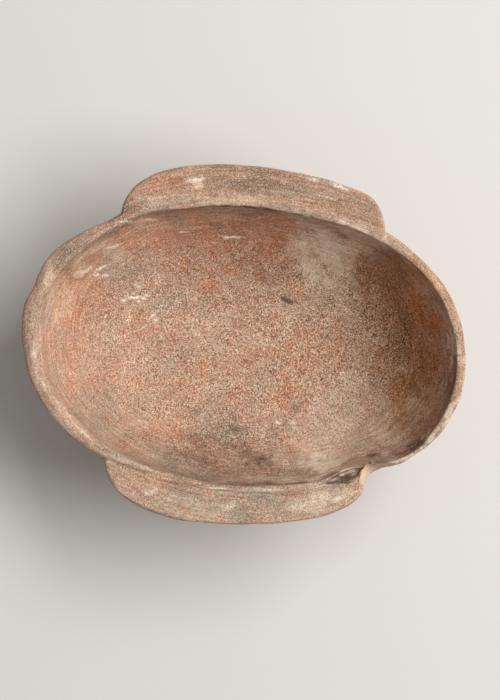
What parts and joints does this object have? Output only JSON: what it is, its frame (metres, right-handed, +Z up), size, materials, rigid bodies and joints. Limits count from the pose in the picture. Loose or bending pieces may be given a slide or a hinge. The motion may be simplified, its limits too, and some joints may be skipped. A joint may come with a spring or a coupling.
{
  "type": "ear cup",
  "caption": "Oval earthenware drinking cup with a flat ear along each long side of its rim, a rounded hollow and a low oval foot.",
  "frame": {"origin": "centre of the foot's flat underside, which is the face that the cup stands on", "axes": "+X along the cup's length, towards the end whose lip is narrow; +Y across it through both ears; +Z up, out of the hollow"},
  "size_m": [0.13, 0.1051, 0.041],
  "materials": {
    "clay": "matte"
  },
  "bodies": {
    "root": {"ear_cup": "clay"}
  },
  "joints": []
}
